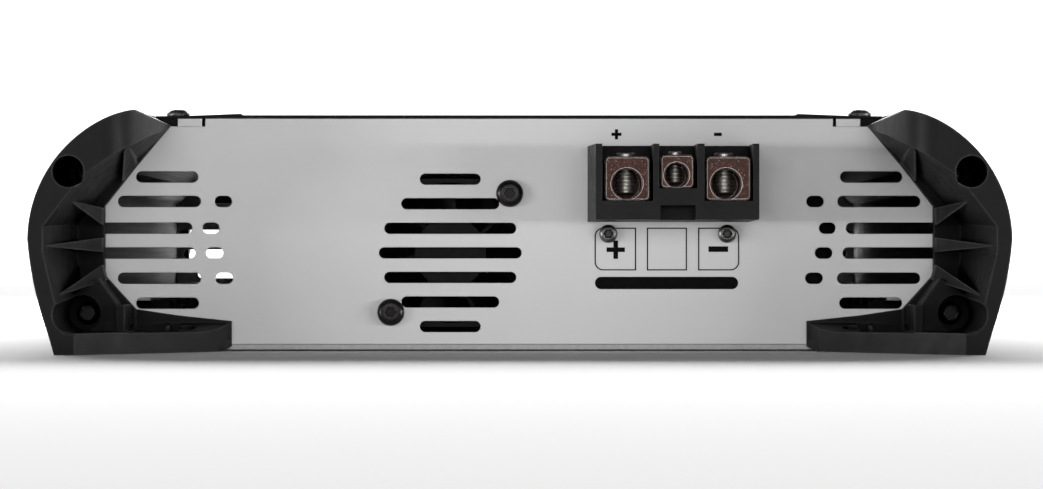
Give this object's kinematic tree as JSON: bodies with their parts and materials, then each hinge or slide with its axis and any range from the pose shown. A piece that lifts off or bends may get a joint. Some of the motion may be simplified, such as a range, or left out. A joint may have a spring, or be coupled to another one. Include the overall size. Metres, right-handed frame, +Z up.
{
  "type": "car amplifier",
  "caption": "Low metal-bodied amplifier with finned sides, plastic corner guards, vented end panels, fan and screw terminals.",
  "frame": {"origin": "centre of the bounding box's underside, on the plane of the four feet", "axes": "+X across the width, -Y out of the power end, +Y out of the signal end, +Z up"},
  "size_m": [0.2542, 0.37, 0.0654],
  "materials": {
    "guard": "matte moulded",
    "base": "satin",
    "panel": "satin silver",
    "heat_sink": "anodised",
    "cover": "satin black",
    "dark_screw": "black oxide",
    "bright_screw": "zinc plated",
    "plain_screw": "plain",
    "fan_plastic": "moulded",
    "bronze": "sintered",
    "copper": "enamelled",
    "terminal_plastic": "moulded",
    "clamp_metal": "plated brass",
    "board": "solder mask",
    "capacitor": "sleeved",
    "core": "powdered iron",
    "package": "moulded epoxy",
    "socket_metal": "plated",
    "lens": "tinted",
    "knob": "moulded"
  },
  "bodies": {
    "chassis": {"front_left_corner_guard": "guard", "front_right_corner_guard": "guard", "rear_left_corner_guard": "guard", "rear_right_corner_guard": "guard", "base_plate": "base", "power_end_panel": "panel", "signal_end_panel": "panel", "left_heat_sink": "heat_sink", "right_heat_sink": "heat_sink", "top_cover": "cover", "corner_guard_screws": "dark_screw", "cover_screws": "plain_screw", "base_screws": "dark_screw", "fan_frame": "fan_plastic", "fan_bearing": "bronze", "fan_stator": "copper", "fan_screws": "dark_screw", "power_terminal_housing": "terminal_plastic", "speaker_terminal_housing": "terminal_plastic", "terminal_screws": "plain_screw", "terminal_bracket": "bright_screw", "circuit_board": "board", "board_standoffs": "clamp_metal", "board_screws": "bright_screw", "filter_capacitors": "capacitor", "transformer_cores": "core", "transformer_windings": "copper", "inductor_cores": "core", "inductor_windings": "copper", "left_transistors": "package", "right_transistors": "package", "left_clamp_bar": "bright_screw", "right_clamp_bar": "bright_screw", "clamp_screws": "bright_screw", "control_board": "board", "rca_housing": "terminal_plastic", "rca_sockets": "socket_metal", "pot_bodies": "package", "switch_body": "bright_screw", "remote_port": "terminal_plastic", "indicator_lenses": "lens", "indicator_board": "board", "positive_clamp": "clamp_metal", "remote_clamp": "clamp_metal", "negative_clamp": "clamp_metal", "speaker_positive_clamp": "clamp_metal", "speaker_negative_clamp": "clamp_metal"},
    "fan_rotor": {"fan_rotor": "fan_plastic"},
    "positive_set_screw": {"positive_set_screw": "bright_screw"},
    "remote_set_screw": {"remote_set_screw": "bright_screw"},
    "negative_set_screw": {"negative_set_screw": "bright_screw"},
    "speaker_positive_set_screw": {"speaker_positive_set_screw": "bright_screw"},
    "speaker_negative_set_screw": {"speaker_negative_set_screw": "bright_screw"},
    "gain_knob": {"gain_knob": "knob"},
    "lowpass_knob": {"lowpass_knob": "knob"},
    "subsonic_knob": {"subsonic_knob": "knob"},
    "bass_knob": {"bass_knob": "knob"},
    "switch_slider": {"switch_slider": "terminal_plastic"}
  },
  "joints": [
    {"name": "fan_spin", "type": "hinge", "parent": "chassis", "child": "fan_rotor", "pos_m": [-0.0186, -0.13, 0.02645], "axis": [0, -1, 0], "continuous": true},
    {"name": "positive_screw_travel", "type": "slide", "parent": "chassis", "child": "positive_set_screw", "axis": [0, 0, 1], "range_m": [-0.0005, 0.0063]},
    {"name": "remote_screw_travel", "type": "slide", "parent": "chassis", "child": "remote_set_screw", "axis": [0, 0, 1], "range_m": [-0.0005, 0.0049]},
    {"name": "negative_screw_travel", "type": "slide", "parent": "chassis", "child": "negative_set_screw", "axis": [0, 0, 1], "range_m": [-0.0005, 0.0063]},
    {"name": "speaker_positive_screw_travel", "type": "slide", "parent": "chassis", "child": "speaker_positive_set_screw", "axis": [0, 0, 1], "range_m": [-0.0005, 0.0063]},
    {"name": "speaker_negative_screw_travel", "type": "slide", "parent": "chassis", "child": "speaker_negative_set_screw", "axis": [0, 0, 1], "range_m": [-0.0005, 0.0063]},
    {"name": "gain_turn", "type": "hinge", "parent": "chassis", "child": "gain_knob", "pos_m": [-0.004, 0.144, 0.02], "axis": [0, -1, 0], "range_deg": [-140, 140]},
    {"name": "lowpass_turn", "type": "hinge", "parent": "chassis", "child": "lowpass_knob", "pos_m": [-0.021, 0.144, 0.02], "axis": [0, -1, 0], "range_deg": [-140, 140]},
    {"name": "subsonic_turn", "type": "hinge", "parent": "chassis", "child": "subsonic_knob", "pos_m": [-0.038, 0.144, 0.02], "axis": [0, -1, 0], "range_deg": [-140, 140]},
    {"name": "bass_turn", "type": "hinge", "parent": "chassis", "child": "bass_knob", "pos_m": [-0.055, 0.144, 0.02], "axis": [0, -1, 0], "range_deg": [-140, 140]},
    {"name": "phase_switch_travel", "type": "slide", "parent": "chassis", "child": "switch_slider", "axis": [1, 0, 0], "range_m": [0, 0.004]}
  ]
}
